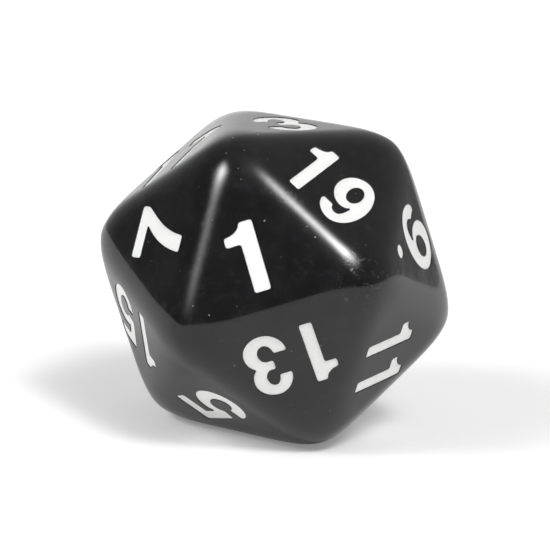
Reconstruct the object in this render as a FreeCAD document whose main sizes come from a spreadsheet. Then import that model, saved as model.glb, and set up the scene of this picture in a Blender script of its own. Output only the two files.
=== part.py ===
"""Twenty-sided die: one solid moulded body with engraved numerals, and the paint that fills each digit.

The frame's origin is the centre of the die and +Z is up. The die rests on face 18, so face 3 is on top.
Every digit is drawn once in a cell of 100 by 100, scaled to its real size, extruded just under the top
face and then turned with its numeral onto the face that carries it. Sizes are in millimetres.
"""

import FreeCAD, Part
import Sketcher

import math
import os

from FreeCAD import Placement, Rotation, Vector

SIZES = [
    ("face_to_face", 20.0, "between two opposite faces"),
    ("corner_to_corner", 23.2, "between two opposite corners, after tumbling"),
    ("edge_radius", 2.4, "rounding that tumbling leaves along every edge"),
    ("engraving_depth", 0.45, "from a face down to a numeral's floor"),
    ("paint_recess", 0.07, "from a face down to the paint"),
    ("cutter_overrun", 1.0, "how far a cutter stands out of its face"),
    ("digit_height", 4.5, "height of every digit"),
    ("lone_width", 3.45, "width of a digit that stands alone"),
    ("paired_width", 2.7, "width of each digit of a pair"),
    ("lone_centre", 0.1, "height of a lone digit's middle above the face's centre"),
    ("paired_centre", -0.3, "height of a pair's middle above the face's centre"),
    ("paired_shift", -0.05, "from the face's centre line to a pair's middle"),
    ("digit_gap", 0.15, "between the two cells of a pair"),
    ("kerning", 0.1, "how much closer a leading 1 stands to the digit after it"),
    ("dot_size", 0.85, "width of the dot after 6 and 9"),
    ("dot_gap", 0.6, "between 6 or 9 and its dot"),
]

ROOT_5 = math.sqrt(5)

# The sharp corners of an icosahedron that lies on a face, in four rings of three. Each ring has a radius and
# a height, in units of half of face_to_face. A corner is named by its ring and its azimuth in degrees.
CORNER_RINGS = {
    "crown": (3 - ROOT_5, 1),
    "shoulder": (ROOT_5 - 1, ROOT_5 - 2),
    "hip": (ROOT_5 - 1, 2 - ROOT_5),
    "foot": (3 - ROOT_5, -1),
}

# One corner of each opposite pair.
CORNER_PAIRS = ("crown 90", "crown 210", "crown 330", "shoulder 30", "shoulder 150", "shoulder 270")

# Ten faces by their corners. The numeral's top points to the first corner named. The opposite face carries
# 21 less the number, and its numeral points to the opposite corner.
FACES = {
    1: ("crown 210", "shoulder 270", "hip 210"),
    3: ("crown 90", "crown 210", "crown 330"),
    5: ("foot 150", "foot 270", "hip 210"),
    7: ("shoulder 150", "crown 210", "hip 210"),
    9: ("hip 330", "shoulder 270", "crown 330"),
    11: ("hip 330", "shoulder 270", "foot 270"),
    13: ("foot 270", "shoulder 270", "hip 210"),
    15: ("foot 150", "shoulder 150", "hip 210"),
    17: ("crown 90", "crown 210", "shoulder 150"),
    19: ("crown 330", "crown 210", "shoulder 270"),
}
OPPOSITE_SUM = 21
DOTTED = (6, 9)  # these two would read as each other upside down

# The names of the width and height that each kind of character is made in.
DIGIT_SIZES = (("lone_width", "digit_height"), ("paired_width", "digit_height"))
DOT_SIZES = (("dot_size", "dot_size"),)

CELL = 100.0  # side of the cell in which a digit is drawn
CORNER_CUT = 5  # how far a digit's sharp corner is cut back to be rounded
SHARP = math.radians(15)  # two strokes that meet at more than this angle make a sharp corner
QUARTER = 0.5523  # handle length that makes a cubic curve follow a quarter of an ellipse
ONE_WIDTH = 58.0  # the digit 1 fills only this much of its cell, at the left


class Pen:
    """Draws one closed outline in a digit's cell, as a chain of Bezier strokes."""

    def __init__(self, x, y):
        self.start = self.end = Vector(x, y, 0)
        self.strokes = []

    def curve(self, x1, y1, x2, y2, x, y):
        """A cubic stroke to x, y with handles at x1, y1 and x2, y2."""
        poles = [self.end, Vector(x1, y1, 0), Vector(x2, y2, 0), Vector(x, y, 0)]
        return self._add(poles)

    def line(self, x, y):
        return self._add([self.end, Vector(x, y, 0)])

    def to_level(self, x, y):
        """A quarter of an ellipse that sets out upright and arrives level."""
        return self.curve(
            self.end.x,
            self.end.y + QUARTER * (y - self.end.y),
            x - QUARTER * (x - self.end.x),
            y,
            x,
            y,
        )

    def to_upright(self, x, y):
        """A quarter of an ellipse that sets out level and arrives upright."""
        return self.curve(
            self.end.x + QUARTER * (x - self.end.x),
            self.end.y,
            x,
            y - QUARTER * (y - self.end.y),
            x,
            y,
        )

    def close(self):
        if not self.end.isEqual(self.start, 1e-6):
            self.line(self.start.x, self.start.y)
        return self._with_round_corners()

    def _add(self, poles):
        stroke = Part.BezierCurve()
        stroke.setPoles(poles)
        self.strokes.append(stroke)
        self.end = poles[-1]
        return self

    def _with_round_corners(self):
        """The strokes, with a short curve in place of each sharp corner."""
        count = len(self.strokes)
        corners = [stroke.getPole(stroke.NbPoles) for stroke in self.strokes]
        sharp = [self._turn_after(i) > SHARP for i in range(count)]
        for i, stroke in enumerate(self.strokes):
            begin, finish = stroke.FirstParameter, stroke.LastParameter
            if sharp[i - 1]:
                begin = stroke.parameterAtDistance(CORNER_CUT, stroke.FirstParameter)
            if sharp[i]:
                finish = stroke.parameterAtDistance(-CORNER_CUT, stroke.LastParameter)
            stroke.segment(begin, finish)
        outline = []
        for i, stroke in enumerate(self.strokes):
            outline.append(stroke)
            if sharp[i]:
                following = self.strokes[(i + 1) % count]
                bridge = Part.BezierCurve()
                bridge.setPoles([stroke.getPole(stroke.NbPoles), corners[i], following.getPole(1)])
                outline.append(bridge)
        return outline

    def _turn_after(self, i):
        """The angle between a stroke's end and the start of the one that follows it."""
        stroke = self.strokes[i]
        following = self.strokes[(i + 1) % len(self.strokes)]
        heading = stroke.tangent(stroke.LastParameter)[0]
        return heading.getAngle(following.tangent(following.FirstParameter)[0])


def oval(left, bottom, right, top, side=0):
    """A closed ring whose left and right sides run straight for a length of side."""
    middle_x, middle_y = (left + right) / 2, (bottom + top) / 2
    pen = Pen(middle_x, bottom).to_upright(right, middle_y - side / 2)
    if side:
        pen.line(right, middle_y + side / 2)
    pen.to_level(middle_x, top).to_upright(left, middle_y + side / 2)
    if side:
        pen.line(left, middle_y - side / 2)
    return pen.to_level(middle_x, bottom).close()


def draw_zero():
    return [oval(0, -1, 100, 101, side=14), oval(31, 16, 69, 84, side=22)]


def draw_one():
    pen = Pen(28, 0).line(ONE_WIDTH, 0).line(ONE_WIDTH, 100).line(33, 100)
    return [pen.to_level(0, 84).line(0, 70).line(28, 70).close()]


def draw_two():
    pen = Pen(0, 0).curve(2, 26, 20, 37, 42, 49).curve(57, 57, 67, 61, 67, 70)
    pen.to_level(49, 83).to_upright(31, 66).line(2, 66)
    pen.to_level(49, 101).to_upright(98, 70)
    pen.curve(98, 52, 85, 44, 67, 34).curve(54, 27, 43, 24, 39, 19)
    return [pen.line(98, 19).line(98, 0).close()]


def draw_three():
    pen = Pen(0, 32).line(31, 32).to_level(50, 16).to_upright(68, 30).to_level(50, 43)
    pen.line(37, 43).line(37, 58).line(48, 58).to_upright(64, 71).to_level(48, 84)
    pen.to_upright(33, 69).line(4, 69).to_level(49, 101).to_upright(95, 74)
    pen.curve(95, 63, 89, 56, 80, 52).curve(93, 47, 100, 39, 100, 28)
    return [pen.to_level(50, -1).to_upright(0, 32).close()]


def draw_four():
    pen = Pen(55, 0).line(85, 0).line(85, 22).line(100, 22).line(100, 40).line(85, 40)
    pen.line(85, 100).line(57, 100).line(0, 41).line(0, 22).line(55, 22)
    counter = Pen(55, 40).line(55, 75).line(22, 40)
    return [pen.close(), counter.close()]


def draw_five():
    pen = Pen(15, 100).line(97, 100).line(97, 81).line(39, 81).line(36, 62)
    pen.curve(41, 65, 48, 67, 56, 67).to_upright(103, 33).to_level(50, -1)
    pen.to_upright(0, 30).line(31, 30).to_level(50, 16).to_upright(72, 33)
    pen.to_level(51, 50).curve(43, 50, 36, 47, 32, 42).line(5, 46)
    return [pen.close()]


def draw_seven():
    pen = Pen(8, 100).line(104, 100).line(104, 85).curve(82, 60, 62, 38, 59, 0)
    return [pen.line(28, 0).curve(31, 34, 46, 60, 70, 80).line(8, 80).close()]


def draw_eight():
    pen = Pen(50, -1).to_upright(0, 28).curve(0, 40, 7, 47, 18, 52)
    pen.curve(9, 57, 4, 64, 4, 74).to_level(50, 101).to_upright(96, 74)
    pen.curve(96, 64, 91, 57, 82, 52).curve(93, 47, 100, 40, 100, 28)
    return [pen.to_level(50, -1).close(), oval(30, 15, 70, 43), oval(33, 60, 67, 85)]


def draw_nine():
    pen = Pen(3, 25).line(33, 25).to_level(49, 16).curve(61, 16, 67, 26, 68, 42)
    pen.curve(61, 36, 53, 33, 44, 33).to_upright(0, 66).to_level(50, 101)
    pen.to_upright(100, 51).to_level(48, -1).to_upright(3, 25)
    return [pen.close(), oval(31, 49, 68, 84)]


def draw_six():
    """A nine turned half round in its cell."""
    half_turn = Placement(Vector(CELL, CELL, 0), Rotation(Vector(0, 0, 1), 180)).toMatrix()
    outlines = draw_nine()
    for outline in outlines:
        for stroke in outline:
            stroke.transform(half_turn)
    return outlines


def draw_dot():
    return [oval(0, 0, CELL, CELL)]


DRAWINGS = {
    "0": draw_zero,
    "1": draw_one,
    "2": draw_two,
    "3": draw_three,
    "4": draw_four,
    "5": draw_five,
    "6": draw_six,
    "7": draw_seven,
    "8": draw_eight,
    "9": draw_nine,
    ".": draw_dot,
}


def make_sheet(doc):
    sheet = doc.addObject("Spreadsheet::Sheet", "Sizes")
    for row, (alias, value, note) in enumerate(SIZES, start=1):
        sheet.set(f"A{row}", note)
        sheet.set(f"B{row}", str(value))
        sheet.setAlias(f"B{row}", alias)
    doc.recompute()
    return sheet


def corner(name):
    """The direction of a named corner."""
    ring, azimuth = name.split()
    radius, height = CORNER_RINGS[ring]
    angle = math.radians(float(azimuth))
    return Vector(radius * math.cos(angle), radius * math.sin(angle), height)


def face_rotations():
    """For each number, the turn that takes +Z to its face's normal and +Y to the top of its numeral."""
    rotations = {}
    for number, names in FACES.items():
        corners = [corner(name) for name in names]
        normal = corners[0] + corners[1] + corners[2]
        up = corners[0]
        rotations[number] = Rotation(up.cross(normal), up, normal, "ZYX")
        rotations[OPPOSITE_SUM - number] = Rotation(up.cross(normal), -up, -normal, "ZYX")
    return rotations


def make_slab(doc, name, thickness, rotation):
    """A thick disc wider than the die, centred on it, whose flat sides are a pair of opposite planes."""
    slab = doc.addObject("Part::Cylinder", name)
    slab.setExpression("Radius", "Sizes.corner_to_corner")
    slab.setExpression("Height", thickness)
    slab.Placement = Placement(Vector(), rotation)
    normal = rotation.multVec(Vector(0, 0, 1))
    for axis in "xyz":
        share = -getattr(normal, axis) / 2
        slab.setExpression(f"Placement.Base.{axis}", f"{share:.12f} * {thickness}")
    return slab


def make_blank(doc, rotations):
    """The die before engraving: an icosahedron that tumbling has blunted and rounded all over."""
    slabs = [make_slab(doc, f"Faces_{n}", "Sizes.face_to_face", rotations[n]) for n in FACES]
    for pair, name in enumerate(CORNER_PAIRS):
        rotation = Rotation(Vector(0, 0, 1), corner(name))
        slabs.append(make_slab(doc, f"Corners_{pair}", "Sizes.corner_to_corner", rotation))
    blunt = doc.addObject("Part::MultiCommon", "Blunt_icosahedron")
    blunt.Behavior = "CommonOfAllShapes"
    blunt.Shapes = slabs
    doc.recompute()

    blank = doc.addObject("PartDesign::Body", "Blank")
    blank.BaseFeature = blunt
    doc.recompute()
    tumbling = blank.newObject("PartDesign::Fillet", "Tumbling")
    tumbling.Base = (blank.Group[0], [])
    tumbling.UseAllEdges = True
    tumbling.setExpression("Radius", "Sizes.edge_radius")
    blank.Tip = tumbling
    return blank


def make_outline(doc, character):
    """A sketch of one character in its cell, with every stroke blocked in place."""
    sketch = doc.addObject("Sketcher::SketchObject", f"Outline_{ord(character)}")
    strokes = [stroke for outline in DRAWINGS[character]() for stroke in outline]
    for index, stroke in enumerate(strokes):
        if stroke.NbPoles == 2:
            sketch.addGeometry(Part.LineSegment(stroke.getPole(1), stroke.getPole(2)), False)
        else:
            sketch.addGeometry(stroke.toBSpline(), False)
        sketch.addConstraint(Sketcher.Constraint("Block", index))
    return sketch


def sized_outlines(doc):
    """Each character's outline at its real sizes, by character and the name of its width."""
    sized = {}
    for character in DRAWINGS:
        sketch = make_outline(doc, character)
        sizes = DOT_SIZES if character == "." else DIGIT_SIZES
        for width, height in sizes:
            outline = doc.addObject("Part::Scale", f"{sketch.Name}_{width}")
            outline.Base = sketch
            outline.Uniform = False
            outline.setExpression("XScale", f"Sizes.{width} / {CELL}")
            outline.setExpression("YScale", f"Sizes.{height} / {CELL}")
            outline.ZScale = 1
            sized[character, width] = outline
    return sized


def numeral_layout(number):
    """A numeral's characters: each with the name of its width, and its left edge and foot as expressions."""
    digits = str(number)
    if len(digits) == 2:
        foot = "Sizes.paired_centre - Sizes.digit_height / 2"
        pitch = "(Sizes.paired_width + Sizes.digit_gap)"
        last_width = ONE_WIDTH / CELL if digits[1] == "1" else 1
        left = f"Sizes.paired_shift - ({pitch} + {last_width} * Sizes.paired_width) / 2"
        nudge = " + Sizes.kerning" if digits[0] == "1" else ""
        return [
            (digits[0], "paired_width", left + nudge, foot),
            (digits[1], "paired_width", f"{left} + {pitch}", foot),
        ]
    foot = "Sizes.lone_centre - Sizes.digit_height / 2"
    if number not in DOTTED:
        return [(digits, "lone_width", "-Sizes.lone_width / 2", foot)]
    span = "(Sizes.lone_width + Sizes.dot_gap + Sizes.dot_size)"
    return [
        (digits, "lone_width", f"-{span} / 2", foot),
        (".", "dot_size", f"{span} / 2 - Sizes.dot_size", foot),
    ]


def make_numeral(doc, outlines, number, name, length, rotation):
    """A numeral's characters as solids that stand on the engraving's floor, turned onto their face."""
    solids = []
    for place, (character, width, left, foot) in enumerate(numeral_layout(number)):
        solid = doc.addObject("Part::Extrusion", f"{name}_{place}")
        solid.Base = outlines[character, width]
        solid.DirMode = "Custom"
        solid.Dir = Vector(0, 0, 1)
        solid.Solid = True
        solid.FaceMakerClass = "Part::FaceMakerBullseye"
        solid.setExpression("LengthFwd", length)
        solid.setExpression("Placement.Base.x", left)
        solid.setExpression("Placement.Base.y", foot)
        solid.setExpression("Placement.Base.z", "Sizes.face_to_face / 2 - Sizes.engraving_depth")
        solids.append(solid)
    numeral = doc.addObject("Part::Compound", name)
    numeral.Links = solids
    numeral.Placement = Placement(Vector(), rotation)
    return numeral


def make_die_body(doc, outlines, rotations):
    """The tumbled blank with a pocket for every character."""
    cutters = doc.addObject("Part::Compound", "Cutters")
    cutters.Links = [
        make_numeral(
            doc,
            outlines,
            number,
            f"Cutter_{number}",
            "Sizes.engraving_depth + Sizes.cutter_overrun",
            rotation,
        )
        for number, rotation in rotations.items()
    ]
    body = doc.addObject("Part::Cut", "Engraved_body")
    body.Base = make_blank(doc, rotations)
    body.Tool = cutters
    body.Label = "die_body"
    return body


def make_paint(doc, outlines, rotations):
    """The paint in each numeral: it starts on the pocket's floor and stops just short of the face."""
    fills = []
    for number, rotation in rotations.items():
        fill = make_numeral(
            doc,
            outlines,
            number,
            f"Paint_{number}",
            "Sizes.engraving_depth - Sizes.paint_recess",
            rotation,
        )
        fill.Label = f"numeral_{number:02d}"
        fills.append(fill)
    return fills


def check_model(doc, subparts):
    for item in doc.Objects:
        if "Invalid" in item.State or "Error" in item.State:
            raise RuntimeError(f"{item.Label} did not compute: {item.State}")
    for subpart in subparts:
        if subpart.Shape.isNull() or not subpart.Shape.isValid() or not subpart.Shape.Solids:
            raise RuntimeError(f"{subpart.Label} has no valid solid")


def check_engraving(sheet, body, blank, fills):
    """Every pocket is cut to its full depth, so together they hold the paint and the recess above it."""
    painted = sum(fill.Shape.Volume for fill in fills)
    expected = painted * sheet.engraving_depth / (sheet.engraving_depth - sheet.paint_recess)
    removed = blank.Shape.Volume - body.Shape.Volume
    if not math.isclose(removed, expected, rel_tol=0.01):
        raise RuntimeError(f"the pockets hold {removed:.2f} mm3 and ought to hold {expected:.2f}")


def main():
    doc = FreeCAD.newDocument("polyhedral_die")
    sheet = make_sheet(doc)
    rotations = face_rotations()
    outlines = sized_outlines(doc)
    body = make_die_body(doc, outlines, rotations)
    fills = make_paint(doc, outlines, rotations)
    doc.recompute()

    subparts = [body] + fills
    check_model(doc, subparts)
    check_engraving(sheet, body, body.Base, fills)
    os.makedirs("parts", exist_ok=True)
    for subpart in subparts:
        subpart.Shape.exportStep(f"parts/{subpart.Label}.step")
        print(f"{subpart.Label}: {subpart.Shape.Volume:.2f} mm3")


main()
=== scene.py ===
"""Looks of a polyhedral die with twenty engraved and painted faces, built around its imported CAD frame.

The CAD gives every position: the planes of the faces, the outlines of the numerals, the floors of their
pockets and the height of the paint. This script makes the same body again as a finer mesh, with faces that
run smoothly into each other and a rounded lip round every pocket, and each numeral's paint with a dished
surface. Lengths are millimetres and turn into metres when a mesh is made, unless a comment says otherwise.
"""

import math

import bpy
import numpy as np

from mathutils import Matrix, Vector, noise
from mathutils.geometry import delaunay_2d_cdt


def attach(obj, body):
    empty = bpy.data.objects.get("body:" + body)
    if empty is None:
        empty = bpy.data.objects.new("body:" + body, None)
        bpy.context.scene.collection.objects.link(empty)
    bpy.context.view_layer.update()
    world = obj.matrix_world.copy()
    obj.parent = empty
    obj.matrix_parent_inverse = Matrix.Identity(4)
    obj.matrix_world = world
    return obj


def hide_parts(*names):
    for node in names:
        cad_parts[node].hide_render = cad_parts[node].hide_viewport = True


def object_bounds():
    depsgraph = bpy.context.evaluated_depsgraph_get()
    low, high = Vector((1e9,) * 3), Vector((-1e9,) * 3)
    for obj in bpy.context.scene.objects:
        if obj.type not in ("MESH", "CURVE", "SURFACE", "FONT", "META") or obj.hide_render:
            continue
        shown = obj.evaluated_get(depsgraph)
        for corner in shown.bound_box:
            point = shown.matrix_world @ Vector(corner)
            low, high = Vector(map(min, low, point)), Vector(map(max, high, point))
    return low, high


MM = 0.001  # metres

# Reading the CAD's meshes.
FACING_OUT = 0.9  # a polygon whose normal has this much of its piece's direction is the paint's surface
SAME_CORNER = 0.1  # two corners closer than this are one

# Rounding of the whole die. The body is every point whose distances out of the inner planes and the inner
# ball, each raised to ROUNDING_POWER, add up to no more than ROUNDING raised to the same power.
ROUNDING = 1.2  # from a face down to the inner plane where its rounding starts
ROUNDING_POWER = 3
CORNER_REACH = 11.7  # from the centre to the ball that blunts the corners
NEWTON_STEPS = 12

# The corner that has been knocked most is the one where these numerals' faces meet.
KNOCKED_CORNER = ("numeral_01", "numeral_09", "numeral_11", "numeral_13", "numeral_19")
KNOCKED_REACH = 2.2  # from that corner to where its marks fade out

# Mesh of a face: rows at these distances from each edge, with points at these distances from each corner.
ROWS = (0.08, 0.16, 0.26, 0.36, 0.48, 0.62, 0.78, 0.96, 1.16, 1.4, 1.7, 2.1, 2.6, 3.1)
STATIONS = (0.12, 0.25, 0.4, 0.56, 0.74, 0.95, 1.2, 1.5, 1.85, 2.25, 2.7, 3.2, 3.75, 4.3, 4.9, 5.5, 6.1)
CLEARANCE = 0.06  # between a free point and the lines it has to keep away from
MERGE_WITHIN = 1e-6  # points closer than this count as one point when an area is cut into triangles
SMALLEST_AREA = 1e-7  # twice the area of the smallest triangle that is kept

# Pockets and paint.
SHORTEST, LONGEST = 0.03, 0.3  # between neighbouring points of an outline
LIP_RADIUS = 0.045
LIP_STEPS = 4
NOTCH_SPANS = (1, 2, 3, 4, 5)  # numbers of points over which a lip may not fold
NOTCH_SHARE = 0.3  # the least share of an outline's length that the lip's outer edge keeps over such a span
NOTCH_STEP = 0.8  # how much smaller a lip gets at each try until it doesn't fold
PAINT_GAP = 0.002  # between the paint and its pocket
PAINT_EDGE_DEPTH = 0.06  # from the face down to the paint where it clings to the wall
CLING = 0.12  # the distance from the wall over which the paint settles to its level
PAINT_RINGS = (0.04, 0.09, 0.16)  # from an outline to the rings of free points inside it
RING_SHARE = 0.8  # a ring's point is dropped if an outline is nearer than this share of the ring's distance
PAINT_GRID = 0.12
PAINT_RIPPLE = 0.008
PAINT_RIPPLE_SIZE = 0.7
PAINT_CREASE = 50  # degrees between two polygons from which the line between them is sharp

# Colours of the plastic and of what lies on it.
PLASTIC = (0.0092, 0.0092, 0.0100)
FILM = (0.02, 0.02, 0.022, 1.0)
SCRATCH_GREY = 0.03
SCUFF_GREY = 0.05
DUST_GREY = 0.45  # also the raw plastic in a chip

# Roughness of the plastic, from its glossiest to its dullest parts, and of what lies on it.
GLOSSIEST, DULLEST = 0.08, 0.12
SCRATCH_ROUGHNESS = 0.2
SCUFF_ROUGHNESS = 0.35
DUST_ROUGHNESS = 0.6

HAIRLINE_STRETCH = 30  # a hairline's length in its widths

# Relief of the plastic: the height of its slight waves, and the rest as multiples of that height.
WAVE_HEIGHT = 0.003
SCRATCH_DEPTH = 0.2
SCUFF_DEPTH = 1.5
CHIP_DEPTH = 8.0
DUST_HEIGHT = 3.0

# Paint, where it is thick and where it is thin, and the grey in patches along its rim, next to the pocket
# wall.
THICK_PAINT = (0.94, 0.94, 0.93, 1.0)
THIN_PAINT = (0.88, 0.88, 0.86, 1.0)
RIM_GREY = 0.5
PAINT_GRAIN_HEIGHT = 0.006

# Radiance that the floor adds to the light it scatters, towards the die and towards the camera.
FLOOR_GLOW = 0.1
FLOOR_LIFT = 0.22
FLOOR_GRAIN_HEIGHT = 0.01
FLOOR_SIZE = 4.0  # metres, from its middle to each side

# Radiance of the room, low down and overhead.
ROOM_LOW = 0.08
ROOM_HIGH = 0.2

# The camera looks at the centre of the die. Its angles are degrees, and its distance and clipping metres.
CAMERA = {"azimuth": -30.7, "elevation": 13.4, "roll": 3.7, "distance": 0.169}
SENSOR_WIDTH = 36
FOCAL_LENGTH = 170
NEAREST_SEEN, FARTHEST_SEEN = 0.005, 20

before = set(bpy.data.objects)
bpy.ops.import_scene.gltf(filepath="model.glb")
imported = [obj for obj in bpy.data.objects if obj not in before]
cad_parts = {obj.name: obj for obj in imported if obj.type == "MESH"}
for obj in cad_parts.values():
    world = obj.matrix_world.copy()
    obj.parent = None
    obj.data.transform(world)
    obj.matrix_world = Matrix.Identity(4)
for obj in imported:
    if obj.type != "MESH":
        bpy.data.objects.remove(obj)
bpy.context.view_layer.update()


def unit(vectors):
    return vectors / np.linalg.norm(vectors, axis=-1, keepdims=True)


def node_mesh(name):
    """A CAD node's points, its polygons once its split points are merged, and the polygons' normals."""
    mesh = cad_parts[name].data
    places = {}
    merged = [places.setdefault(tuple(vertex.co), len(places)) for vertex in mesh.vertices]
    polygons = [[merged[i] for i in polygon.vertices] for polygon in mesh.polygons]
    normals = np.array([polygon.normal for polygon in mesh.polygons])
    return np.array(list(places)) / MM, polygons, normals


def boundary_loops(polygons):
    """Closed chains of points around flat polygons, which lie to the left of each chain's direction."""
    sides = {(a, b) for polygon in polygons for a, b in zip(polygon, polygon[1:] + polygon[:1])}
    following = {a: b for a, b in sorted(sides) if (b, a) not in sides}
    loops = []
    while following:
        start, here = following.popitem()
        loop = [start]
        while here != start:
            loop.append(here)
            here = following.pop(here)
        loops.append(loop)
    return loops


def respaced(loop):
    """A loop without points that nearly coincide, and with points added along its straights."""
    kept = [loop[0]]
    for point in loop[1:]:
        if np.linalg.norm(point - kept[-1]) > SHORTEST:
            kept.append(point)
    if np.linalg.norm(kept[-1] - kept[0]) < SHORTEST:
        kept.pop()
    spaced = []
    for here, there in zip(kept, kept[1:] + kept[:1]):
        steps = math.ceil(np.linalg.norm(there - here) / LONGEST)
        spaced += [here + (there - here) * step / steps for step in range(steps)]
    return np.array(spaced)


class Face:
    """One flat face of the die, with axes in its plane and the outlines of its numeral in those axes."""

    def __init__(self, numeral, body_points):
        points, polygons, normals = node_mesh(numeral)
        middle = unit(points.mean(0))
        painted = [i for i, normal in enumerate(normals) if normal @ middle > FACING_OUT]
        self.numeral = numeral
        self.normal = unit(normals[painted].mean(0))
        self.across = unit(np.array(Vector(self.normal).orthogonal()))
        self.up = np.cross(self.normal, self.across)
        self.height = (body_points @ self.normal).max()
        self.paint_height = (points @ self.normal).max()
        self.floor_height = (points @ self.normal).min()
        flat = self.flatten(points)
        loops = boundary_loops([polygons[i] for i in painted])
        self.outlines = [respaced(flat[loop]) for loop in loops]

    def flatten(self, points):
        return np.stack([points @ self.across, points @ self.up], -1)

    def turn(self, flat):
        """A direction in the face's axes as a direction in space."""
        return flat[:, :1] * self.across + flat[:, 1:] * self.up

    def place(self, flat, height):
        return self.turn(flat) + height * self.normal


def sharp_corners(faces):
    """The corners where the faces' planes meet, and for each face its three corners in turn."""
    normals = np.array([face.normal for face in faces])
    corners, rims = [], []
    for index, face in enumerate(faces):
        beside = np.argsort(-normals @ face.normal)[1:4]
        rim = []
        for left_out in range(3):
            meeting = [index] + [k for place, k in enumerate(beside) if place != left_out]
            heights = [faces[k].height for k in meeting]
            corner = np.linalg.solve(normals[meeting], heights)
            known = [i for i, other in enumerate(corners) if np.linalg.norm(other - corner) < SAME_CORNER]
            if not known:
                corners.append(corner)
            rim.append(known[0] if known else len(corners) - 1)
        middle = sum(corners[i] for i in rim) / 3
        first, second, third = (corners[i] - middle for i in rim)
        if np.cross(second - first, third - first) @ face.normal < 0:
            rim.reverse()
        rims.append(rim)
    return corners, rims


class RoundedDie:
    """The smooth surface that lies on the faces' planes and rounds every edge and corner between them."""

    def __init__(self, faces):
        self.normals = np.array([face.normal for face in faces])
        self.inner_heights = np.array([face.height for face in faces]) - ROUNDING

    def shares(self, points):
        """How far each point stands out of each inner plane, and out of the inner ball."""
        planes = np.maximum(0, points @ self.normals.T - self.inner_heights)
        ball = np.maximum(0, np.linalg.norm(points, axis=1) - (CORNER_REACH - ROUNDING))
        return planes, ball[:, None]

    def slope(self, points):
        planes, ball = self.shares(points)
        power = ROUNDING_POWER - 1
        return planes**power @ self.normals + ball**power * unit(points)

    def surface(self, points, directions):
        """Each outside point moved along its direction until it lies on the surface."""
        for _ in range(NEWTON_STEPS):
            planes, ball = self.shares(points)
            total = (planes**ROUNDING_POWER).sum(1) + ball[:, 0] ** ROUNDING_POWER
            change = ROUNDING_POWER * (self.slope(points) * directions).sum(1)
            points = points - ((total - ROUNDING**ROUNDING_POWER) / change)[:, None] * directions
        return points

    def towards_centre(self, points):
        return self.surface(points, -unit(points))

    def knocks(self, points, faces):
        """1 at the corner that has been knocked most, fading to 0 away from it."""
        corner = sum(face.normal for face in faces if face.numeral in KNOCKED_CORNER)
        corner = self.towards_centre(unit(corner)[None] * 2 * CORNER_REACH)
        return np.exp(-((points - corner) ** 2).sum(1) / KNOCKED_REACH**2)

    def wear(self, points):
        """0 on a flat face, about a half along an edge and near 1 on a corner."""
        planes, _ = self.shares(points)
        return 1 - np.minimum(1, planes.max(1) / ROUNDING) ** ROUNDING_POWER


class Skin:
    """The points and faces of a mesh, with a normal for every point."""

    def __init__(self):
        self.points, self.normals, self.faces, self.corner_normals = [], [], [], []

    def add_points(self, points, normals):
        first = len(self.points)
        self.points += list(points)
        self.normals += list(normals)
        return list(range(first, len(self.points)))

    def add_faces(self, faces, normal=None):
        """Adds faces, shaded with their points' normals or with one normal for all of them."""
        for face in faces:
            self.faces.append(face)
            self.corner_normals += [self.normals[i] if normal is None else normal for i in face]

    def mesh(self, name):
        mesh = bpy.data.meshes.new(name)
        mesh.from_pydata(np.array(self.points) * MM, [], self.faces)
        mesh.shade_smooth()
        mesh.normals_split_custom_set(self.corner_normals)
        return mesh


def add_attribute(mesh, name, values):
    """Gives each point of a mesh a number that its material can read."""
    attribute = mesh.attributes.new(name, "FLOAT", "POINT")
    attribute.data.foreach_set("value", values.astype(np.float32))


def enclosed(points, loops):
    """Whether each point is enclosed by an odd number of loops."""
    odd = np.zeros(len(points), bool)
    x, y = points[:, :1], points[:, 1:]
    for loop in loops:
        x0, y0 = loop.T
        x1, y1 = np.roll(loop, -1, 0).T
        rise = np.where(y1 == y0, 1, y1 - y0)
        crossed = ((y0 > y) != (y1 > y)) & (x < x0 + (y - y0) * (x1 - x0) / rise)
        odd ^= crossed.sum(1) % 2 == 1
    return odd


def distance_to(points, loops):
    """How far each point is from the nearest loop."""
    nearest = np.full(len(points), np.inf)
    for loop in loops:
        side = np.roll(loop, -1, 0) - loop
        offset = points[:, None] - loop[None]
        share = np.clip((offset * side).sum(2) / (side**2).sum(1), 0, 1)
        gap = np.linalg.norm(offset - share[..., None] * side, axis=2)
        nearest = np.minimum(nearest, gap.min(1))
    return nearest


def triangulate(loops, free=np.zeros((0, 2))):
    """Triangles over what an odd number of loops enclose, by index into the loops' and the free points."""
    points = np.concatenate(loops + [free])
    sides, first = [], 0
    for loop in loops:
        count = len(loop)
        sides += [(first + i, first + (i + 1) % count) for i in range(count)]
        first += count
    result = delaunay_2d_cdt([Vector(point) for point in points], sides, [], 0, MERGE_WITHIN)
    places, triangles, sources = result[0], result[2], result[3]
    if len(places) != len(points):
        raise ValueError("two outlines cross or touch")
    triangles = np.array([[sources[i][0] for i in triangle] for triangle in triangles])
    first, second, third = points[triangles].transpose(1, 0, 2)
    one, other = second - first, third - first
    area = one[:, 0] * other[:, 1] - one[:, 1] * other[:, 0]
    kept = enclosed((first + second + third) / 3, loops) & (area > SMALLEST_AREA)
    return triangles[kept].tolist()


def outward(loop):
    """At each point of a loop, the direction away from the paint."""
    ahead = unit(np.roll(loop, -1, 0) - loop)
    travel = unit(ahead + np.roll(ahead, 1, 0))
    return np.stack([travel[:, 1], -travel[:, 0]], 1)


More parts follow.
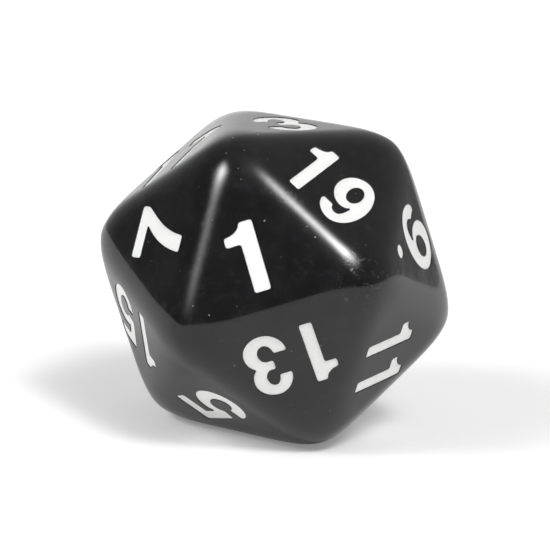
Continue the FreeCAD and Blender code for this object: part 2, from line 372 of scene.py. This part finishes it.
def lip_reach(outline, away):
    """The radius of the lip at each point: smaller in a tight notch, where a full one would fold over."""
    reach = np.full((len(outline), 1), LIP_RADIUS)
    folding = True
    while folding:
        edge = outline + away * reach
        folding = False
        for span in NOTCH_SPANS:
            chord = np.roll(outline, -span, 0) - outline
            moved = np.roll(edge, -span, 0) - edge
            short = (moved * chord).sum(1) < NOTCH_SHARE * (chord**2).sum(1)
            for point in np.flatnonzero(short):
                reach[np.arange(point, point + span + 1) % len(outline)] *= NOTCH_STEP
                folding = True
    return reach


def strip(upper, lower):
    """Quads between two closed rings of the same number of points."""
    count = len(upper)
    pairs = [(i, (i + 1) % count) for i in range(count)]
    return [(upper[i], upper[j], lower[j], lower[i]) for i, j in pairs]


def cut_pocket(skin, die, face):
    """Adds a numeral's pocket. Returns its lip's outer loops, as ids and as seen from the die's centre."""
    lip_ids, lip_loops, floor_ids = [], [], []
    for outline in face.outlines:
        away = outward(outline)
        away_in_space = face.turn(away)
        reach = lip_reach(outline, away)
        rings = []
        for step in range(LIP_STEPS + 1):
            angle = math.pi / 2 * step / LIP_STEPS
            flat = outline + away * reach * (1 - math.sin(angle))
            top = die.surface(face.place(flat, face.height), -face.normal[None])
            lip = top - face.normal * reach * (1 - math.cos(angle))
            normals = unit(die.slope(top)) * math.cos(angle) - away_in_space * math.sin(angle)
            rings.append(skin.add_points(lip, normals))
            if step == 0:
                lip_loops.append(face.flatten(top * (face.height / (top @ face.normal))[:, None]))
        rings.append(skin.add_points(face.place(outline, face.floor_height), -away_in_space))
        for upper, lower in zip(rings, rings[1:]):
            skin.add_faces(strip(upper, lower))
        lip_ids += rings[0]
        floor_ids += rings[-1]
    floor = triangulate(face.outlines)
    skin.add_faces([[floor_ids[i] for i in triangle] for triangle in floor], face.normal)
    return lip_ids, lip_loops


def edge_stations(length):
    """Distances along an edge from one corner, the same from either end."""
    near = list(STATIONS)
    return near + [length / 2] + [length - station for station in reversed(near)]


def face_grid(corners):
    """Points over a triangular face in rows beside its edges, which run together along its bisectors."""
    grid = [sum(corners) / 3]
    for here, there in zip(corners, corners[1:] + corners[:1]):
        length = np.linalg.norm(there - here)
        along = (there - here) / length
        inward = np.array([-along[1], along[0]])
        for row in ROWS:
            mitre = row * math.sqrt(3)
            grid.append(here + along * mitre + inward * row)
            for station in edge_stations(length):
                if mitre + CLEARANCE < station < length - mitre - CLEARANCE:
                    grid.append(here + along * station + inward * row)
    return np.array(grid)


def make_body(die, faces):
    """The whole body as one closed mesh: twenty faces with their pockets, joined along shared edges."""
    skin = Skin()
    corners, rims = sharp_corners(faces)

    def add_rounded(sharp):
        points = die.towards_centre(sharp)
        return skin.add_points(points, unit(die.slope(points)))

    corner_ids = add_rounded(np.array(corners))
    edge_points, edge_ids = {}, {}
    for rim in rims:
        for a, b in zip(rim, rim[1:] + rim[:1]):
            if a < b:
                length = np.linalg.norm(corners[b] - corners[a])
                shares = np.array(edge_stations(length))[:, None] / length
                edge_points[a, b] = corners[a] + (corners[b] - corners[a]) * shares
                edge_ids[a, b] = add_rounded(edge_points[a, b])
                edge_points[b, a] = edge_points[a, b][::-1]
                edge_ids[b, a] = edge_ids[a, b][::-1]

    for face, rim in zip(faces, rims):
        rim_ids, rim_points = [], []
        for a, b in zip(rim, rim[1:] + rim[:1]):
            rim_ids += [corner_ids[a]] + edge_ids[a, b]
            rim_points += [corners[a][None], edge_points[a, b]]
        rim_loop = face.flatten(np.concatenate(rim_points))
        lip_ids, lip_loops = cut_pocket(skin, die, face)

        grid = face_grid([face.flatten(corners[i]) for i in rim])
        grid = grid[~enclosed(grid, lip_loops) & (distance_to(grid, lip_loops) > CLEARANCE)]
        grid_ids = add_rounded(face.place(grid, face.height))
        ids = rim_ids + lip_ids + grid_ids
        triangles = triangulate([rim_loop] + lip_loops, grid)
        skin.add_faces([[ids[i] for i in triangle] for triangle in triangles])

    mesh = skin.mesh("tumbled_body")
    points = np.array(skin.points)
    add_attribute(mesh, "wear", die.wear(points))
    add_attribute(mesh, "knocks", die.knocks(points, faces))
    return mesh


def paint_points(face):
    """Free points over a numeral: rings just inside its outlines, and a grid between them."""
    rings = []
    for inset in PAINT_RINGS:
        for outline in face.outlines:
            ring = outline - outward(outline) * inset
            rings.append(ring[distance_to(ring, face.outlines) > RING_SHARE * inset])
    rings = np.concatenate(rings)
    lowest = np.min([outline.min(0) for outline in face.outlines], 0)
    highest = np.max([outline.max(0) for outline in face.outlines], 0)
    columns = np.arange(lowest[0], highest[0], PAINT_GRID)
    lines = np.arange(lowest[1], highest[1], PAINT_GRID)
    grid = np.array([(x, y) for x in columns for y in lines])
    grid = grid[distance_to(grid, face.outlines) > PAINT_RINGS[-1] + PAINT_GRID / 2]
    free = np.concatenate([rings, grid])
    free = free[enclosed(free, face.outlines)]
    cells = {tuple(cell): i for i, cell in enumerate(np.round(free / SHORTEST).astype(int))}
    return free[sorted(cells.values())]


def make_paint(die, face):
    """A numeral's paint: a solid just clear of its pocket, which sinks a little away from the walls."""
    loops = [outline - outward(outline) * PAINT_GAP for outline in face.outlines]
    free = paint_points(face)
    flat = np.concatenate(loops + [free])
    level = face.height - face.paint_height
    nearness = np.exp(-distance_to(flat, loops) / CLING)
    depth = level - (level - PAINT_EDGE_DEPTH) * nearness
    top = die.surface(face.place(flat, face.height), -face.normal[None])
    ripple = np.array([noise.noise(Vector(point / PAINT_RIPPLE_SIZE)) for point in top])
    top -= (depth + PAINT_RIPPLE * ripple * (1 - nearness))[:, None] * face.normal
    floor = face.place(np.concatenate(loops), face.floor_height + PAINT_GAP)

    below = len(top)  # added to the index of an outline's point, it gives the floor's point under it
    polygons = triangulate(loops, free)
    polygons += [[below + i for i in reversed(triangle)] for triangle in triangulate(loops)]
    first = 0
    for loop in loops:
        upper = list(range(first, first + len(loop)))
        polygons += strip([below + i for i in upper], upper)
        first += len(loop)

    mesh = bpy.data.meshes.new(face.numeral + "_paint")
    mesh.from_pydata(np.concatenate([top, floor]) * MM, [], polygons)
    mesh.shade_smooth()
    mesh.set_sharp_from_angle(angle=math.radians(PAINT_CREASE))
    add_attribute(mesh, "rim", np.concatenate([nearness, np.ones(len(floor))]))
    return mesh


class Shading:
    """A node tree, with short ways to add the nodes that these materials use."""

    def __init__(self, tree):
        self.tree = tree
        tree.nodes.clear()

    def add(self, kind, inputs, **settings):
        """Adds a node. Each input is a value, or another node's output to be linked."""
        node = self.tree.nodes.new("ShaderNode" + kind)
        for name, value in settings.items():
            setattr(node, name, value)
        for key, value in inputs.items():
            if isinstance(value, bpy.types.NodeSocket):
                self.tree.links.new(value, node.inputs[key])
            else:
                node.inputs[key].default_value = value
        return node

    def math(self, operation, first, second=0.0):
        return self.add("Math", {0: first, 1: second}, operation=operation).outputs[0]

    def noise(self, place, scale, detail=2.0):
        return self.add("TexNoise", {"Vector": place, "Scale": scale, "Detail": detail}).outputs[0]

    def remap(self, value, low, high, start=0.0, end=1.0):
        """Takes low to start and high to end, smoothly, and holds the value beyond them."""
        inputs = {"Value": value, "From Min": low, "From Max": high, "To Min": start, "To Max": end}
        return self.add("MapRange", inputs, interpolation_type="SMOOTHSTEP").outputs[0]

    def mix(self, share, first, second):
        """A blend of two numbers."""
        return self.add("Mix", {0: share, 2: first, 3: second}, data_type="FLOAT").outputs[0]

    def mix_colour(self, share, first, second):
        return self.add("Mix", {0: share, 6: first, 7: second}, data_type="RGBA").outputs[2]

    def millimetres(self):
        """The object's own coordinates in millimetres."""
        place = self.add("TexCoord", {}).outputs["Object"]
        return self.add("VectorMath", {0: place, 3: 1 / MM}, operation="SCALE").outputs[0]

    def attribute(self, name):
        return self.add("Attribute", {}, attribute_name=name).outputs["Fac"]

    def hairlines(self, place, turn, fineness, width):
        """Long thin lines, where a noise stretched along one direction passes its middle value."""
        scale = (fineness / HAIRLINE_STRETCH, fineness, fineness)
        inputs = {"Vector": place, "Rotation": turn, "Scale": scale}
        stretched = self.add("Mapping", inputs).outputs[0]
        level = self.noise(stretched, scale=1.0)
        off_middle = self.math("ABSOLUTE", self.math("SUBTRACT", level, 0.5))
        return self.remap(off_middle, width, 0.0)

    def specks(self, place, fineness, radius):
        """Scattered specks, soft at their rims, each with a strength of its own and most of them faint."""
        cells = self.add("TexVoronoi", {"Vector": place, "Scale": fineness})
        reach = radius * fineness
        inside = self.remap(cells.outputs["Distance"], reach, 0.5 * reach)
        strength = self.add("SeparateColor", {"Color": cells.outputs["Color"]}).outputs[0]
        return self.math("MULTIPLY", inside, self.math("POWER", strength, 2.0))

    def glow(self, way, azimuth, elevation, width, radiance):
        """A round light with no edge: its radiance falls off as a bell curve. The angles are in degrees."""
        towards = direction(azimuth, elevation)
        facing = self.add("VectorMath", {0: way, 1: towards}, operation="DOT_PRODUCT").outputs["Value"]
        steepness = 1 / math.radians(width) ** 2
        fall = self.math("MULTIPLY", self.math("SUBTRACT", facing, 1.0), steepness)
        return self.math("MULTIPLY", self.math("EXPONENT", fall), radiance)

    def finish(self, colour, roughness, bump_height, bump_distance, **extra):
        """A surface with a bump of that height in millimetres."""
        inputs = {"Height": bump_height, "Distance": bump_distance * MM, "Strength": 1.0}
        bump = self.add("Bump", inputs).outputs[0]
        inputs = {"Base Color": colour, "Roughness": roughness, "Normal": bump}
        inputs.update(extra)
        surface = self.add("BsdfPrincipled", inputs).outputs[0]
        self.add("OutputMaterial", {"Surface": surface})


def new_material(name):
    material = bpy.data.materials.new(name)
    material.use_nodes = True
    return material, Shading(material.node_tree)


def grey(level):
    return (level, level, level, 1.0)


def black_plastic():
    """Glossy moulded plastic: deep black, faintly uneven, with hairlines, knocked corners and some dust."""
    material, nodes = new_material("black_plastic")
    place = nodes.millimetres()
    wear = nodes.attribute("wear")
    knocks = nodes.attribute("knocks")

    # Places shifted unevenly by up to 0.2 mm, which give ragged specks.
    uneven = nodes.add("TexNoise", {"Vector": place, "Scale": 5.0}).outputs["Color"]
    shift = {0: uneven, 1: (0.2, 0.2, 0.2), 2: place}
    ragged = nodes.add("VectorMath", shift, operation="MULTIPLY_ADD").outputs[0]

    # Hairlines in two directions, in patches.
    patches = nodes.remap(nodes.noise(place, scale=0.8), low=0.48, high=0.62)
    fine = nodes.hairlines(place, turn=(0.3, 0.9, 0.5), fineness=7.0, width=0.012)
    crossing = nodes.hairlines(place, turn=(1.2, -0.4, 2.1), fineness=9.0, width=0.010)
    scratches = nodes.math("MULTIPLY", nodes.math("MAXIMUM", fine, crossing), patches)

    # Scuffs and chips, a few on every corner and most on the knocked one.
    corners = nodes.remap(wear, low=0.6, high=0.95, start=0.0, end=0.35)
    knocked = nodes.math("MAXIMUM", knocks, corners)
    nicks = nodes.remap(nodes.noise(place, scale=3.0, detail=4.0), low=0.58, high=0.66)
    scuffs = nodes.math("MULTIPLY", nicks, nodes.remap(knocked, low=0.2, high=0.9))
    chips = nodes.specks(ragged, fineness=1.1, radius=0.2)
    chips = nodes.math("MULTIPLY", chips, nodes.remap(knocked, low=0.4, high=0.8))

    # Dust, more of it where it has settled.
    settled = nodes.remap(nodes.noise(place, scale=0.3), low=0.42, high=0.58, start=0.15, end=1.0)
    dust = nodes.math("MULTIPLY", nodes.specks(ragged, fineness=1.2, radius=0.07), settled)
    pale = nodes.math("MAXIMUM", dust, chips)

    tone = nodes.remap(nodes.noise(place, scale=0.4), low=0.3, high=0.7, start=0.8, end=1.2)
    black = nodes.add("VectorMath", {0: PLASTIC, 3: tone}, operation="SCALE").outputs[0]
    film = nodes.remap(nodes.noise(place, scale=1.7, detail=5.0), low=0.5, high=0.75)
    black = nodes.mix_colour(nodes.math("MULTIPLY", film, 0.5), black, FILM)
    colour = nodes.mix_colour(nodes.math("MULTIPLY", scratches, 0.4), black, grey(SCRATCH_GREY))
    colour = nodes.mix_colour(nodes.math("MULTIPLY", scuffs, 0.6), colour, grey(SCUFF_GREY))
    colour = nodes.mix_colour(pale, colour, grey(DUST_GREY))

    gloss = nodes.noise(place, scale=0.9)
    roughness = nodes.remap(gloss, low=0.3, high=0.7, start=GLOSSIEST, end=DULLEST)
    roughness = nodes.mix(scratches, roughness, SCRATCH_ROUGHNESS)
    roughness = nodes.mix(scuffs, roughness, SCUFF_ROUGHNESS)
    roughness = nodes.mix(pale, roughness, DUST_ROUGHNESS)

    waves = nodes.noise(place, scale=1.1, detail=3.0)
    height = nodes.math("SUBTRACT", waves, nodes.math("MULTIPLY", scratches, SCRATCH_DEPTH))
    height = nodes.math("SUBTRACT", height, nodes.math("MULTIPLY", scuffs, SCUFF_DEPTH))
    height = nodes.math("SUBTRACT", height, nodes.math("MULTIPLY", chips, CHIP_DEPTH))
    height = nodes.math("ADD", height, nodes.math("MULTIPLY", dust, DUST_HEIGHT))
    nodes.finish(colour, roughness, height, WAVE_HEIGHT, IOR=1.5)
    return material


def white_paint():
    """Satin white paint, brushed into the pockets and wiped: slightly uneven, and greyer along its rim."""
    material, nodes = new_material("white_paint")
    place = nodes.millimetres()
    rim = nodes.attribute("rim")
    cloud = nodes.noise(place, scale=1.6, detail=3.0)
    thinness = nodes.remap(cloud, low=0.3, high=0.7, start=0.0, end=0.5)
    colour = nodes.mix_colour(thinness, THICK_PAINT, THIN_PAINT)
    # Patches of grey along the paint's rim, strongest next to the pocket wall and fading within about a
    # tenth of a millimetre.
    rim_greying = nodes.remap(nodes.noise(place, scale=3.5, detail=3.0), low=0.5, high=0.75, start=0.0, end=0.6)
    rim_greying = nodes.math("MULTIPLY", rim_greying, nodes.math("POWER", rim, 2.0))
    colour = nodes.mix_colour(rim_greying, colour, grey(RIM_GREY))
    roughness = nodes.remap(cloud, low=0.3, high=0.7, start=0.38, end=0.52)
    grain = nodes.noise(place, scale=9.0, detail=3.0)
    nodes.finish(colour, roughness, grain, PAINT_GRAIN_HEIGHT, IOR=1.48)
    return material


def pale_floor():
    """Matt white sheet that gives off a little light of its own, and more of it towards the camera."""
    material, nodes = new_material("pale_floor")
    place = nodes.millimetres()
    cloud = nodes.remap(nodes.noise(place, scale=0.02), low=0.3, high=0.7)
    colour = nodes.mix_colour(cloud, grey(0.90), grey(0.92))
    seen = nodes.add("LightPath", {}).outputs["Is Camera Ray"]
    lift = nodes.mix(seen, FLOOR_GLOW, FLOOR_LIFT)
    extra = {"Specular IOR Level": 0.2, "Emission Color": grey(1.0), "Emission Strength": lift}
    grain = nodes.noise(place, scale=2.0)
    nodes.finish(colour, 0.7, grain, FLOOR_GRAIN_HEIGHT, **extra)
    return material


def add_piece(mesh, node, material):
    piece = bpy.data.objects.new(mesh.name, mesh)
    bpy.context.scene.collection.objects.link(piece)
    mesh.materials.append(material)
    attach(piece, "root")
    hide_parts(node)


def make_die():
    body_points = node_mesh("die_body")[0]
    numerals = sorted(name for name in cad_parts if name.startswith("numeral"))
    faces = [Face(numeral, body_points) for numeral in numerals]
    die = RoundedDie(faces)
    add_piece(make_body(die, faces), "die_body", black_plastic())
    paint = white_paint()
    for face in faces:
        add_piece(make_paint(die, face), face.numeral, paint)


def direction(azimuth, elevation):
    """The way towards something seen from the die. Azimuth 0 is towards -Y and 90 towards +X."""
    turn, lift = math.radians(azimuth), math.radians(elevation)
    return Vector((math.sin(turn) * math.cos(lift), -math.cos(turn) * math.cos(lift), math.sin(lift)))


def make_floor():
    mesh = bpy.data.meshes.new("floor")
    quarters = [(-1, -1), (1, -1), (1, 1), (-1, 1)]
    mesh.from_pydata([(x * FLOOR_SIZE, y * FLOOR_SIZE, 0) for x, y in quarters], [], [(0, 1, 2, 3)])
    floor = bpy.data.objects.new("floor", mesh)
    floor.location.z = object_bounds()[0].z
    mesh.materials.append(pale_floor())
    bpy.context.scene.collection.objects.link(floor)


def make_studio():
    """A dark room with two soft lamps, a pale wall and a backdrop. The camera itself sees only white."""
    world = bpy.data.worlds.new("studio")
    world.use_nodes = True
    bpy.context.scene.world = world
    nodes = Shading(world.node_tree)
    way = nodes.add("TexCoord", {}).outputs["Generated"]
    height = nodes.add("SeparateXYZ", {"Vector": way}).outputs["Z"]
    low, high = math.sin(math.radians(15)), math.sin(math.radians(60))
    light = nodes.remap(height, low, high, start=ROOM_LOW, end=ROOM_HIGH)
    glows = [
        # The lamp in front, and its halo.
        nodes.glow(way, azimuth=7, elevation=54.5, width=5.2, radiance=32),
        nodes.glow(way, azimuth=0, elevation=58, width=11, radiance=1.0),
        # The lamp at the side, and the light that trails off below it.
        nodes.glow(way, azimuth=-90, elevation=39.5, width=5.6, radiance=21),
        nodes.glow(way, azimuth=-84, elevation=28, width=6, radiance=2.6),
        nodes.glow(way, azimuth=-82, elevation=19, width=6, radiance=0.9),
        # The pale wall on the other side.
        nodes.glow(way, azimuth=95, elevation=10, width=32, radiance=0.24),
        nodes.glow(way, azimuth=130, elevation=20, width=14, radiance=0.25),
        # The backdrop.
        nodes.glow(way, azimuth=158, elevation=-1, width=14, radiance=1.0),
        nodes.glow(way, azimuth=-168, elevation=2, width=16, radiance=0.25),
    ]
    for glow in glows:
        light = nodes.math("ADD", light, glow)
    seen = nodes.add("LightPath", {}).outputs["Is Camera Ray"]
    strength = nodes.mix(seen, light, 1.0)
    background = nodes.add("Background", {"Color": grey(1.0), "Strength": strength}).outputs[0]
    nodes.add("OutputWorld", {"Surface": background})


def make_camera():
    data = bpy.data.cameras.new("camera")
    data.sensor_width = SENSOR_WIDTH
    data.lens = FOCAL_LENGTH
    data.clip_start = NEAREST_SEEN
    data.clip_end = FARTHEST_SEEN
    camera = bpy.data.objects.new("camera", data)
    away = direction(CAMERA["azimuth"], CAMERA["elevation"])
    roll = Matrix.Rotation(math.radians(CAMERA["roll"]), 3, "Z").to_quaternion()
    camera.rotation_mode = "QUATERNION"
    camera.rotation_quaternion = away.to_track_quat("Z", "Y") @ roll
    camera.location = away * CAMERA["distance"]
    bpy.context.scene.collection.objects.link(camera)
    bpy.context.scene.camera = camera
    bpy.context.scene.view_settings.view_transform = "Standard"


make_die()
make_floor()
make_studio()
make_camera()
